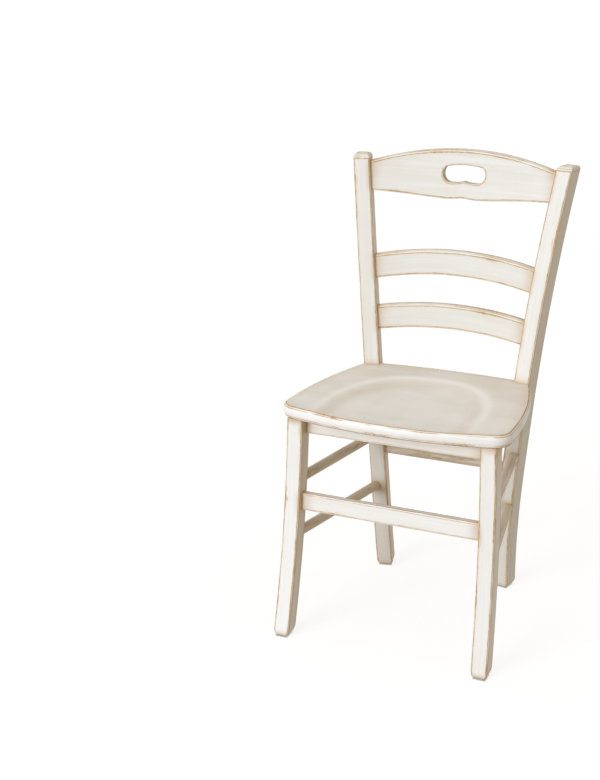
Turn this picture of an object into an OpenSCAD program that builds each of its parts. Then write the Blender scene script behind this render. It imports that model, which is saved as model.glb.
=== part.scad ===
// Country kitchen chair in painted beech: solid saddle seat, sabre front legs,
// two curved back posts that run from floor to crest, a crest rail with a hand
// hole, two curved slats, turned side and back rungs and a flat front stretcher.
// Millimetres. +Z up, front towards -Y, origin on the floor under the middle of
// the chair's box.

/* [Overall] */
// Height of the crest rail at its middle
chair_h = 905; // [860:1:940]
// Height of the seat's rim above the floor
seat_h = 465; // [430:1:500]
// Distance from the front legs to the back posts, at seat height
leg_gap_y = 321; // [290:1:360]
// Greatest width of the seat
seat_w = 446; // [420:1:480]

/* [Front legs] */
// Width of a front leg
leg_w = 32; // [28:1:38]
// Depth of a front leg
leg_d = 36; // [30:1:40]
// Distance from the seat's widest place to a front leg's middle
leg_inset = 35; // [25:1:50]
// Outward lean of each front leg, foot from top
leg_splay = 12.5; // [0:0.5:30]
// How far each foot sweeps forward
leg_sweep = 41; // [0:1:50]
// Height at which the sweep starts
leg_sweep_h = 380; // [200:1:400]

/* [Back posts] */
// Width of a back post
post_w = 34; // [28:1:38]
// Depth of a back post
post_d = 40; // [32:1:44]
// How far the posts' tops stand below the top of the crest rail
post_drop = 17; // [5:1:40]
// Distance from the seat's widest place to a post's middle at the floor
post_inset = 90; // [75:1:110]
// Sideways lean of each back post, top from foot
post_splay = 72; // [40:1:100]
// Angle by which each post is turned to face the sitter
post_toe = 12; // [0:1:16]
// Angle of the upright plane in which each post curves, from the chair's middle plane
post_plane = 17.5; // [0:0.5:25]
// How far each rear foot sweeps backward
foot_sweep = 27; // [0:1:40]
// Height at which the foot's sweep ends
foot_sweep_h = 270; // [200:1:340]
// How far each post's top leans backward
post_rake = 48; // [0:1:60]
// Height at which the lean starts
post_rake_h = 390; // [340:1:440]
// Radius of the eased arrises on legs and posts
arris_r = 3; // [2:0.5:7]
// How far the rounding of the feet reaches in from their sides
foot_r = 9; // [3:0.5:10]
// How far the rounding of the feet reaches up from the floor
foot_h = 16; // [3:0.5:20]
// Radius to which the posts' tops are rounded
post_top_r = 8; // [3:0.5:9]

/* [Seat] */
// Thickness of the seat
seat_t = 25; // [22:1:30]
// Distance by which the seat's front edge stands ahead of the front legs' middle
seat_front = 45; // [35:1:60]
// Distance by which the seat's rear edge passes the back posts' front faces
seat_rear = 27; // [5:1:35]
// Radius of the front edge in plan
seat_front_r = 764; // [600:1:1000]
// Radius of the side edge in plan
seat_side_r = 895; // [700:1:1200]
// Distance of the widest place behind the front legs' middle
seat_wide_y = 22; // [0:1:60]
// Radius of the rear edge in plan
seat_rear_r = 1200; // [800:10:1800]
// Radius of the front corners in plan
seat_corner_r = 38; // [30:1:60]
// Radius of the rear corners in plan
seat_back_corner_r = 16; // [12:1:24]
// Depth of the rounded edge, from its crown to the flat
seat_edge = 6; // [4:0.5:8]
// Depth of the dished saddle
dish_depth = 7; // [3:0.5:9]
// Share of the seat's half width that the dish takes
dish_wide = 0.695; // [0.6:0.005:0.8]
// Share of the seat's length behind the dish's middle that the dish takes
dish_long = 0.76; // [0.6:0.005:0.85]
// Distance of the dish's middle behind the front legs' middle
dish_y = 22; // [0:1:60]
// Share of the dish's depth that is left at the seat's front edge
dish_open = 0.3; // [0:0.05:0.6]
// Distance over which the dish shallows towards the front edge
dish_fade = 95; // [60:1:130]

/* [Back rails] */
// Thickness of the crest rail and slats
slat_t = 18; // [16:1:20]
// Height of each slat
slat_h = 50; // [38:1:56]
// How far the rails bow backward at the middle
slat_bow = 14; // [5:1:20]
// How far the upper slat arches upward at the middle
upper_slat_arch = 18; // [0:1:24]
// How far the lower slat arches upward at the middle
lower_slat_arch = 13; // [0:1:24]
// Place of the upper slat's ends, as a share of the way from the seat to the crest rail
upper_slat_at = 0.569; // [0.5:0.001:0.65]
// Place of the lower slat's ends, as a share of the way from the seat to the crest rail
lower_slat_at = 0.273; // [0.22:0.001:0.34]
// Height of the crest rail's section at its ends
crest_end_h = 60; // [50:1:75]
// How far the crest rail's upper edge rises from its ends to its middle
crest_rise = 29; // [10:1:34]
// How far the crest rail's lower edge drops towards its middle
crest_drop = 9; // [0:1:16]
// Height of the small cusp in the middle of that lower edge
crest_cusp = 3; // [0:0.5:6]
// Radius of the rounded top edges of the rails
slat_top_r = 5.5; // [4:0.5:7.5]
// Radius of the eased bottom edges of the rails
slat_low_r = 2.5; // [2:0.5:6]

/* [Hand hole] */
// Width of the hand hole
hole_w = 87; // [80:1:110]
// Height of the hand hole at its lobes
hole_h = 35; // [30:1:42]
// Distance from the top of the crest rail down to the hand hole's middle line
hole_drop = 48; // [42:1:54]
// Radius of the hand hole's arched upper edge
hole_arch_r = 170; // [100:5:400]
// Distance between the lowest places of its lower edge
hole_lobe_gap = 44; // [30:1:50]
// Height of the cusp between them
hole_cusp = 3.5; // [2:0.5:8]
// How far the hand hole and the rail's cusp sit to the right of the rail's middle
hole_x = 4; // [-8:1:8]

/* [Rungs and rails] */
// Diameter of the turned rungs
rung_d = 20; // [18:0.5:22]
// Height of the upper side rungs at the front legs
upper_rung_z = 312; // [300:1:330]
// Height of the lower side rungs at the front legs
lower_rung_z = 200; // [180:1:215]
// Drop of the side rungs from front to back
rung_drop = 4; // [0:1:10]
// Height of the back rung
back_rung_z = 277; // [265:1:285]
// Height of the front stretcher's middle line
stretcher_z = 273; // [260:1:280]
// Height of the front stretcher's section
stretcher_h = 35; // [28:1:36]
// Thickness of the front stretcher
stretcher_t = 15; // [12:1:18]
// Setback of the stretcher's face from the front legs' faces
stretcher_set = 11; // [5:1:16]
// Height of the front apron
apron_h = 31; // [22:1:34]
// Thickness of the front apron
apron_t = 17; // [14:1:20]
// Setback of the apron's face from the front legs' faces
apron_set = 19; // [12:1:19]

/* [Joinery] */
// Diameter of the round tenons on the rungs
rung_tenon_d = 14; // [12:0.5:16]
// Length of the round tenons on the rungs
rung_tenon_l = 13; // [10:1:14]
// Depth to which a rung's full diameter is let into a leg
rung_house = 3; // [2:0.5:5]
// Diameter of the round tenons on top of the front legs
top_tenon_d = 22; // [18:1:26]
// Length of the round tenons on top of the front legs
top_tenon_l = 13; // [10:1:16]
// Thickness of the flat tenons on the rails
flat_tenon_t = 9; // [7:0.5:11]
// Length of the flat tenons on the rails
flat_tenon_l = 15; // [12:1:18]
// Shoulder above and below each flat tenon
tenon_step = 5; // [3:0.5:7]
// Diameter of the dowels between seat and back posts
dowel_d = 8; // [6:1:10]
// Length of those dowels
dowel_l = 40; // [30:1:50]
// Diameter of the screws that hold the apron to the seat
screw_d = 4; // [3:0.5:5]
// Share of the seat's thickness that those screws enter
screw_bite = 0.6; // [0.4:0.05:0.7]
// Diameter of the screw heads
screw_head_d = 8; // [7:0.5:9]
// Clearance round each tenon, dowel and rung
joint_gap = 0.1; // [0.05:0.05:0.3]
// Gap between the seat's rear tongue and the posts
notch_gap = 1.5; // [0.5:0.5:4]

/* [Hidden] */
ivory = [0.93, 0.91, 0.86];
beech = [0.80, 0.66, 0.48];
steel = [0.62, 0.63, 0.64];
corner_steps = 4;
seat_z0 = seat_h - seat_t;
leg_span = seat_w - 2 * leg_inset;
post_h = chair_h - post_drop;
post_foot_x = seat_w / 2 - post_inset;
crest_low_z = chair_h - crest_rise - crest_end_h;
upper_slat_z = seat_h + upper_slat_at * (crest_low_z - seat_h);
lower_slat_z = seat_h + lower_slat_at * (crest_low_z - seat_h);
hole_z = chair_h - hole_drop;
seat_front_y = -seat_front;
seat_back_y = leg_gap_y - post_d / 2 + seat_rear;
dish_a = dish_wide * seat_w / 2;
dish_b = dish_long * (seat_back_y - dish_y);
screw_l = apron_h - 4 + screw_bite * seat_t;

// Backward curve of a back post's middle line at height z
function post_bow(z) =
    z < foot_sweep_h ? foot_sweep * pow((foot_sweep_h - z) / foot_sweep_h, 2) :
    z > post_rake_h ? post_rake * pow((z - post_rake_h) / (post_h - post_rake_h), 2) : 0;
// Middle of the right back post at height z
function post_x(z) = post_foot_x + post_splay * z / post_h + (post_bow(z) - foot_sweep) * tan(post_plane);
function post_y(z) = leg_gap_y + post_bow(z);
// Middle of the right front leg at height z
function leg_x(z) = leg_span / 2 + leg_splay * (seat_z0 - z) / seat_z0;
function leg_y(z) = z < leg_sweep_h ? -leg_sweep * pow((leg_sweep_h - z) / leg_sweep_h, 2) : 0;

// The chair's box in Y, from the front feet to the rearmost of crest rail and posts
crest_z = (crest_low_z - crest_drop + chair_h) / 2;
front_y = min([for (z = end_steps(foot_h)) leg_y(z) - leg_d / 2 + end_inset(z, foot_r, foot_h)]);
post_back = post_y(post_h - post_top_r) + cos(post_toe) * (post_d / 2 - arris_r) + arris_r
    + sin(post_toe) * (post_w / 2 - arris_r);
crest_back = post_y(crest_z) + slat_bow + slat_t / 2
    + (chair_h - slat_top_r - crest_z) * tan(post_lean(crest_z));
mid_y = (front_y + max(post_back, crest_back)) / 2;

// Lean of a back post at height z, seen from the side
function post_lean(z) = atan((post_y(z + 1) - post_y(z - 1)) / 2);

// One quarter turn of a rounded corner, and a rounded rectangle of half sizes a, b
function corner(cx, cy, r, from) =
    [for (i = [0:corner_steps]) [cx + r * cos(from + 90 * i / corner_steps),
                                 cy + r * sin(from + 90 * i / corner_steps)]];
function round_box(a, b, r_low, r_top) = concat(
    corner(a - r_top, b - r_top, r_top, 0), corner(r_top - a, b - r_top, r_top, 90),
    corner(r_low - a, r_low - b, r_low, 180), corner(a - r_low, r_low - b, r_low, 270));

// Skin over a stack of rings that all have the same number of points
module skin(rings) {
    n = len(rings[0]);
    m = len(rings);
    points = [for (ring = rings) each ring];
    sides = [for (j = [0:m - 2], i = [0:n - 1], t = [0:1])
        t == 0 ? [j * n + i, (j + 1) * n + i, j * n + (i + 1) % n]
               : [j * n + (i + 1) % n, (j + 1) * n + i, (j + 1) * n + (i + 1) % n]];
    low = [[for (i = [0:n - 1]) i]];
    top = [[for (i = [n - 1:-1:0]) (m - 1) * n + i]];
    polyhedron(points = points, faces = concat(low, sides, top), convexity = 6);
}

// Distances from an end, rounded over the height h, at which it is sectioned
function end_steps(h) = [for (i = [0:4]) h * (1 - cos(90 * i / 4))];
// How far a section lies inside the full one, at the distance e from an end that is
// rounded by r over the height h
function end_inset(e, r, h) = e >= h ? 0 : r * (1 - sqrt(1 - pow((h - e) / h, 2)));

// Right back post before its joints are cut
module post_blank() {
    skin([for (z = concat(end_steps(foot_h), [for (i = [1:23]) post_h * i / 24],
            [for (i = [4:-1:0]) post_h - end_steps(post_top_r)[i]]))
        let (i = max(end_inset(z, foot_r, foot_h), end_inset(post_h - z, post_top_r, post_top_r)))
        [for (p = round_box(post_w / 2 - i, post_d / 2 - i, arris_r, arris_r))
            [post_x(z) + p[0] * cos(post_toe) + p[1] * sin(post_toe),
             post_y(z) - p[0] * sin(post_toe) + p[1] * cos(post_toe), z]]]);
}

// Right front leg before its joints are cut; its top is square under the seat
module leg_blank() {
    skin([for (z = concat(end_steps(foot_h), [for (i = [1:20]) seat_z0 * i / 20]))
        let (i = end_inset(z, foot_r, foot_h))
        [for (p = round_box(leg_w / 2 - i, leg_d / 2 - i, arris_r, arris_r))
            [leg_x(z) + p[0], leg_y(z) + p[1], z]]]);
}

// Cylinder of diameter d from point a towards point b, between the distances s and e from a
module rod(a, b, d, s, e) {
    v = b - a;
    l = norm(v);
    translate(a) rotate([0, acos(v[2] / l), atan2(v[1], v[0])]) translate([0, 0, s])
        cylinder(d = d, h = e - s, $fn = 48);
}

// Ends of the right side rungs and of the back rung, on the middles of legs and posts
function rung_front(z) = [leg_x(z), leg_y(z), z];
function rung_rear(z) = [post_x(z - rung_drop), post_y(z - rung_drop), z - rung_drop];
back_rung_right = [post_x(back_rung_z), post_y(back_rung_z), back_rung_z];
back_rung_left = [-back_rung_right[0], back_rung_right[1], back_rung_right[2]];

// Distance from a leg's middle at which a rung's full diameter ends
leg_shoulder = leg_d / 2 - rung_house;
post_shoulder = post_d / 2 - rung_house;
post_side_shoulder = post_w / 2 - rung_house;

// A turned rung from a to b, with its shoulders sa and sb from the ends' middles
module rung(a, b, sa, sb) {
    l = norm(b - a);
    rod(a, b, rung_d, sa, l - sb);
    rod(a, b, rung_tenon_d, sa - rung_tenon_l, l - sb + rung_tenon_l);
}

// The stepped hole that takes such a rung's end at a
module rung_hole(a, b, shoulder) {
    rod(a, b, rung_d + 2 * joint_gap, shoulder, shoulder + rung_house + post_d / 2);
    rod(a, b, rung_tenon_d + 2 * joint_gap, shoulder - rung_tenon_l - joint_gap, shoulder + 1);
}

// Frame of a back post's inner face at height z: X points into the post, Z along it
module at_post(z) {
    t = atan((post_x(z + 1) - post_x(z - 1)) / 2 * cos(post_toe)
        - (post_y(z + 1) - post_y(z - 1)) / 2 * sin(post_toe));
    translate([post_x(z), post_y(z), z]) rotate([0, 0, -post_toe]) rotate([0, t, 0])
        translate([-post_w / 2, 0, 0]) children();
}

// Frame of a front leg's inner face at height z
module at_leg(z) {
    translate([leg_x(z), leg_y(z), z]) rotate([0, -atan(leg_splay / seat_z0), 0])
        translate([-leg_w / 2, 0, 0]) children();
}

// Flat tenon of height h, with the clearance g on every face
module flat_tenon(h, g) {
    translate([-2, -flat_tenon_t / 2 - g, -h / 2 - g])
        cube([flat_tenon_l + 2 + g, flat_tenon_t + 2 * g, h + 2 * g]);
}

// Everything beyond a face, used to trim a rail to its shoulder
module beyond() {
    translate([-joint_gap, -100, -150]) cube([120, 200, 300]);
}

module both_sides() {
    children();
    mirror([1, 0, 0]) children();
}

// Height of a crest rail's or slat's edge at the place x, where half is its half length
function arch(x, half, rise) = rise * (1 - pow(x / half, 2));
crest_half = post_x(crest_low_z + 24) - post_w / 2;
function crest_top(x) = chair_h - crest_rise + arch(x, crest_half, crest_rise);
function crest_low(x) = crest_low_z - crest_drop * (1 + cos(180 * min(1, abs(x) / crest_half))) / 2
    + crest_cusp * exp(-pow((x - hole_x) / 18, 2));

// Curved rail between the posts: low and top give its edges at x, z its middle height
module rail_blank(half, lows, tops, z) {
    n = len(lows);
    lean = tan(post_lean(z));
    skin([for (i = [0:n - 1])
        let (x = half * (2 * i / (n - 1) - 1), low = lows[i], top = tops[i],
             y = post_y(z) + arch(x, half, slat_bow), mid = (low + top) / 2)
        [for (p = round_box(slat_t / 2, (top - low) / 2, slat_low_r, slat_top_r))
            [x, y + p[0] + (mid + p[1] - z) * lean, mid + p[1]]]]);
}

rail_steps = 44;
function rail_xs(half) = [for (i = [0:rail_steps]) half * (2 * i / rail_steps - 1)];

// A rail trimmed to the posts' inner faces, with its two tenons of height h at z
module rail(half, lows, tops, z, h, tenon_z) {
    difference() {
        rail_blank(half + 8, lows, tops, z);
        both_sides() at_post(tenon_z) beyond();
    }
    both_sides() at_post(tenon_z) flat_tenon(h, 0);
}

slat_tenon_h = slat_h - 2 * tenon_step - 4;
crest_tenon_h = chair_h - crest_rise - crest_low_z - 2 * tenon_step - 4;
crest_tenon_z = (chair_h - crest_rise + crest_low_z) / 2;

module slat(z, rise) {
    half = post_x(z) - post_w / 2;
    xs = rail_xs(half + 8);
    rail(half, [for (x = xs) z - slat_h / 2 + arch(x, half, rise)],
        [for (x = xs) z + slat_h / 2 + arch(x, half, rise)], z, slat_tenon_h, z);
}

// Outline of the hand hole: a capsule with an arched top and a cusp in the lower edge
module hole_outline() {
    r = hole_h / 2;
    lobe = hole_lobe_gap / 2;
    lobe_r = (lobe * lobe + hole_cusp * hole_cusp) / (2 * hole_cusp);
    difference() {
        intersection() {
            union() {
                both_sides() translate([hole_w / 2 - r, 0]) circle(r = r, $fn = 64);
                translate([r - hole_w / 2, -r]) square([hole_w - 2 * r, hole_h]);
            }
            translate([0, r - hole_arch_r]) circle(r = hole_arch_r, $fn = 240);
        }
        difference() {
            translate([-lobe, -r - 1]) square([2 * lobe, hole_cusp + 2]);
            both_sides() translate([lobe, lobe_r - r]) circle(r = lobe_r, $fn = 180);
        }
    }
}

// Seat plan: arcs tangent to each other, as [centre, radius, angle] for each point
front_c = [0, seat_front_y + seat_front_r];
side_c = [seat_w / 2 - seat_side_r, seat_wide_y];
rear_c = [0, seat_back_y - seat_rear_r];
// The place that lies at distance ra from a and rb from b, on the side given by s
function meet(a, ra, b, rb, s) = let (
    d = norm(b - a), u = (b - a) / d, k = (ra * ra - rb * rb + d * d) / (2 * d), h = sqrt(ra * ra - k * k))
    a + k * u + s * h * [-u[1], u[0]];
front_corner = meet(front_c, seat_front_r - seat_corner_r, side_c, seat_side_r - seat_corner_r, 1);
rear_corner = meet(rear_c, seat_rear_r - seat_back_corner_r, side_c, seat_side_r - seat_back_corner_r, -1);
function heading(v) = atan2(v[1], v[0]);
front_turn = heading(front_corner - front_c);
side_turn_low = heading(front_corner - side_c);
side_turn_top = heading(rear_corner - side_c);
rear_turn = heading(rear_corner - rear_c);
function arc_steps(c, r, from, to, n) = [for (i = [0:n - 1]) [c, r, from + (to - from) * i / n]];
half_rim = concat(
    arc_steps(front_c, seat_front_r, -90, front_turn, 8),
    arc_steps(front_corner, seat_corner_r, front_turn, side_turn_low, 8),
    arc_steps(side_c, seat_side_r, side_turn_low, side_turn_top, 12),
    arc_steps(rear_corner, seat_back_corner_r, side_turn_top, rear_turn, 6),
    arc_steps(rear_c, seat_rear_r, rear_turn, 90, 8));
function rim_point(q, inset) = q[0] + (q[1] - inset) * [cos(q[2]), sin(q[2])];
function rim(inset) = let (right = [for (q = half_rim) rim_point(q, inset)], n = len(right))
    concat(right, [[0, seat_back_y - inset]], [for (i = [n - 1:-1:1]) [-right[i][0], right[i][1]]]);

// Depth of the saddle at a place: an oval hollow that runs out over the front edge
function step(t) = let (u = max(0, min(1, t))) u * u * (3 - 2 * u);
function dish(x, y) =
    let (v = y > dish_y ? (y - dish_y) / dish_b : 0.45 * (dish_y - y) / dish_b,
         r = pow(pow(abs(x) / dish_a, 2.4) + pow(v, 2.4), 1 / 2.4))
    dish_depth * step((1.02 - r) / 0.34)
        * (dish_open + (1 - dish_open) * step((y + seat_front) / dish_fade));

edge_steps = 7;
module seat_blank() {
    bottom_to_top = [for (j = [0:edge_steps]) let (a = -90 + 180 * j / edge_steps)
        [for (p = rim(seat_edge * (1 - cos(a))))
            [p[0], p[1], seat_z0 + seat_t / 2 + seat_t / 2 * sin(a)
                - (j == edge_steps ? dish(p[0], p[1]) : j == edge_steps - 1 ? dish(p[0], p[1]) * 0.6 : 0)]]];
    flat = rim(seat_edge);
    middle = [0, (seat_front_y + seat_back_y) / 2];
    top = [for (s = [0.95, 0.9, 0.84, 0.78, 0.72, 0.65, 0.58, 0.5, 0.4, 0.3, 0.2, 0.1, 0.02])
        [for (p = flat) let (q = middle + s * (p - middle)) [q[0], q[1], seat_h - dish(q[0], q[1])]]];
    skin(concat(bottom_to_top, top));
}

// Frame of a back post's front face at the seat: X outward, Y into the post, Z along it
seat_mid_z = seat_z0 + seat_t / 2;
module at_post_front() {
    t = atan((post_y(seat_h) - post_y(seat_z0)) / seat_t * cos(post_toe)
        + (post_x(seat_h) - post_x(seat_z0)) / seat_t * sin(post_toe));
    translate([post_x(seat_mid_z), post_y(seat_mid_z), seat_mid_z]) rotate([0, 0, -post_toe])
        rotate([-t, 0, 0]) translate([0, -post_d / 2, 0]) children();
}

dowel_in_post = 18;
module dowel_pair(d, extra) {
    for (x = [-post_w / 4, post_w / 4])
        translate([x, dowel_in_post + extra - dowel_l - 2 * extra, 0]) rotate([-90, 0, 0])
            cylinder(d = d, h = dowel_l + 2 * extra, $fn = 32);
}

// Screws up through the apron into the seat, at sx either side of the middle
screw_x = leg_span / 4;
apron_y = -leg_d / 2 + apron_set + apron_t / 2;
screw_head_z = seat_z0 - apron_h + 4;
module screw(extra) {
    translate([screw_x, apron_y, screw_head_z - extra * 4]) {
        cylinder(d = screw_head_d + 2 * extra, h = 2.5 + extra * 4, $fn = 32);
        cylinder(d = screw_d + 2 * extra, h = screw_l + extra * 5, $fn = 32);
    }
}

module seat() color(ivory) difference() {
    seat_blank();
    both_sides() {
        translate([leg_x(seat_z0), leg_y(seat_z0), seat_z0 - 1])
            cylinder(d = top_tenon_d + 2 * joint_gap, h = top_tenon_l + 1 + joint_gap, $fn = 48);
        at_post_front() {
            translate([-post_w / 2 - notch_gap, -joint_gap, -60]) cube([140, 120, 120]);
            dowel_pair(dowel_d + 2 * joint_gap, joint_gap);
        }
        screw(joint_gap);
    }
}

module back_post() color(ivory) difference() {
    post_blank();
    at_post(crest_tenon_z) flat_tenon(crest_tenon_h, joint_gap);
    for (z = [upper_slat_z, lower_slat_z])
        at_post(z) flat_tenon(slat_tenon_h, joint_gap);
    for (z = [upper_rung_z, lower_rung_z])
        rung_hole(rung_rear(z), rung_front(z), post_shoulder);
    rung_hole(back_rung_right, back_rung_left, post_side_shoulder);
    at_post_front() dowel_pair(dowel_d + 2 * joint_gap, joint_gap);
}

module front_leg() color(ivory) {
    difference() {
        leg_blank();
        for (z = [upper_rung_z, lower_rung_z])
            rung_hole(rung_front(z), rung_rear(z), leg_shoulder);
        at_leg(stretcher_z) translate([0, stretcher_y, 0])
            flat_tenon(stretcher_h - 2 * tenon_step, joint_gap);
        at_leg(apron_z) translate([0, apron_y - leg_y(apron_z), 0])
            flat_tenon(apron_h - 2 * tenon_step, joint_gap);
    }
    translate([leg_x(seat_z0), leg_y(seat_z0), seat_z0 - 1])
        cylinder(d = top_tenon_d, h = top_tenon_l + 1, $fn = 48);
}

// A straight rail between the front legs: middle at y and z, with rounded arrises
module cross_rail(y, z, t, h, r) {
    difference() {
        translate([-leg_span / 2, y, z]) rotate([90, 0, 90])
            linear_extrude(height = leg_span) polygon(round_box(t / 2, h / 2, r, r));
        both_sides() at_leg(z) beyond();
    }
    both_sides() at_leg(z) translate([0, y - leg_y(z), 0]) flat_tenon(h - 2 * tenon_step, 0);
}

stretcher_y = -leg_d / 2 + stretcher_set + stretcher_t / 2;
apron_z = seat_z0 - apron_h / 2;
module front_stretcher() color(ivory)
    cross_rail(leg_y(stretcher_z) + stretcher_y, stretcher_z, stretcher_t, stretcher_h, 2.5);

module front_apron() color(ivory) difference() {
    cross_rail(apron_y, apron_z, apron_t, apron_h, 1);
    both_sides() screw(joint_gap);
}

module crest_rail() color(ivory) {
    xs = rail_xs(crest_half + 8);
    difference() {
        rail(crest_half, [for (x = xs) crest_low(x)], [for (x = xs) crest_top(x)], crest_z,
            crest_tenon_h, crest_tenon_z);
        translate([hole_x, post_y(hole_z) + slat_bow + 60, hole_z]) rotate([90, 0, 0])
            linear_extrude(height = 120) hole_outline();
    }
}

module side_rung(z) color(ivory)
    rung(rung_front(z), rung_rear(z), leg_shoulder, post_shoulder);

module left() mirror([1, 0, 0]) children();

module placed() translate([0, -mid_y, 0]) children();

placed() seat();
placed() left() back_post();  // left_back_post
placed() back_post();  // right_back_post
placed() left() front_leg();  // left_front_leg
placed() front_leg();  // right_front_leg
placed() crest_rail();
placed() color(ivory) slat(upper_slat_z, upper_slat_arch);  // upper_slat
placed() color(ivory) slat(lower_slat_z, lower_slat_arch);  // lower_slat
placed() front_apron();
placed() front_stretcher();
placed() left() side_rung(upper_rung_z);  // left_upper_rung
placed() left() side_rung(lower_rung_z);  // left_lower_rung
placed() side_rung(upper_rung_z);  // right_upper_rung
placed() side_rung(lower_rung_z);  // right_lower_rung
placed() back_rung();
placed() seat_dowels();
placed() seat_screws();

module back_rung() color(ivory)
    rung(back_rung_left, back_rung_right, post_side_shoulder, post_side_shoulder);

module seat_dowels() color(beech) both_sides() at_post_front() dowel_pair(dowel_d, 0);

module seat_screws() color(steel) both_sides() screw(0);
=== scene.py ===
import math

import bpy
import numpy as np
from mathutils import Matrix, Vector, noise


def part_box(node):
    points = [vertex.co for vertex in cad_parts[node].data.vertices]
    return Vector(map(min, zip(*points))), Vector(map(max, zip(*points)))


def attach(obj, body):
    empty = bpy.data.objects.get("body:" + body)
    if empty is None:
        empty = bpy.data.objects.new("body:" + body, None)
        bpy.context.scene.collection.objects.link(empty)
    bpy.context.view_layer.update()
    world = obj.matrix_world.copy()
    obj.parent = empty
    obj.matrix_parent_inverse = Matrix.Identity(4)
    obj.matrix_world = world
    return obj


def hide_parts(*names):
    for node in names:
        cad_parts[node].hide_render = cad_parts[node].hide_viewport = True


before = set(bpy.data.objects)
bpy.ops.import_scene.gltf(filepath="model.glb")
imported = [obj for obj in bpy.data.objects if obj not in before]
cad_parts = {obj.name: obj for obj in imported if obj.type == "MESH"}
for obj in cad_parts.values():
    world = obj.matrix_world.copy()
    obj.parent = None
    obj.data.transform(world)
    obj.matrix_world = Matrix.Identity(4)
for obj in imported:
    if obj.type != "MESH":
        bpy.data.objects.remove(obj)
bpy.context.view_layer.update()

# ---------------------------------------------------------------- the chair's shape, in millimetres
# The same shape rules as the CAD solids. y is measured from the front legs' middles and
# z from the floor; Y0 carries them into the row frame.
SEAT_FRONT = 45.0
Y0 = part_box("seat")[0][1] * 1000 + SEAT_FRONT
POST_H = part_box("left_back_post")[1][2] * 1000
CHAIR_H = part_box("crest_rail")[1][2] * 1000
SEAT_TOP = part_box("seat")[1][2] * 1000
SEAT_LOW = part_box("seat")[0][2] * 1000
SEAT_T = SEAT_TOP - SEAT_LOW
TOE = math.radians(12)  # turn of a back post about its own length
PLANE = math.radians(17.5)  # a back post bends outward by this as it bends backward
POST_W, POST_D, LEG_W, LEG_D, ARRIS = 34.0, 40.0, 32.0, 36.0, 3.0
POST_FOOT_X, POST_SPLAY = 133.0, 72.0
FOOT_SWEEP, FOOT_SWEEP_END = 27.0, 270.0  # backward sweep of a post's foot, and where it ends
TOP_SWEEP, TOP_SWEEP_START = 48.0, 390.0
LEG_GAP, LEG_SPAN, LEG_SPLAY = 321.0, 376.0, 12.5
LEG_SWEEP, LEG_SWEEP_END = 41.0, 380.0
UPPER_RUNG, LOWER_RUNG, BACK_RUNG, STRETCHER_Z = 312.0, 200.0, 277.0, 273.0
RUNG_D = 20.0
RUNG_DROP = 4.0  # a side rung ends this much lower at the back
SEAT_JOINT, LEG_JOINT = 452.0, 440.0
CREST_RISE, CREST_END_H, CREST_SAG = 29.0, 60.0, 9.0
CREST_LOW = CHAIR_H - CREST_RISE - CREST_END_H
RAIL_T, RAIL_BOW = 18.0, 14.0  # thickness and backward bow of the slats and the crest rail


def post_bow(z):
    z = np.asarray(z, float)
    foot = FOOT_SWEEP * (np.clip(FOOT_SWEEP_END - z, 0, None) / FOOT_SWEEP_END) ** 2
    top = TOP_SWEEP * (np.clip(z - TOP_SWEEP_START, 0, None) / (POST_H - TOP_SWEEP_START)) ** 2
    return foot + top


def post_x(z):
    bend = (post_bow(z) - FOOT_SWEEP) * math.tan(PLANE)
    return POST_FOOT_X + POST_SPLAY * np.asarray(z, float) / POST_H + bend


def post_y(z):
    return LEG_GAP + post_bow(z)


def post_lean(z):
    return (post_y(z + 1) - post_y(z - 1)) / 2


def leg_x(z):
    return LEG_SPAN / 2 + LEG_SPLAY * (SEAT_LOW - np.asarray(z, float)) / SEAT_LOW


def leg_y(z):
    return -LEG_SWEEP * (np.clip(LEG_SWEEP_END - np.asarray(z, float), 0, None) / LEG_SWEEP_END) ** 2


# ---------------------------------------------------------------- meshes
FOOT_H = 16.0  # height over which the feet are rounded
OFF = 0.25  # how far inside a flat its worn line lies
FOOT_LINE = 3.2  # height of the worn line round a foot
SKIN = 0.04  # how far a post's or leg's section stays inside the CAD's
RING_STEP = 5.0  # distance between the rings of a post or leg


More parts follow.
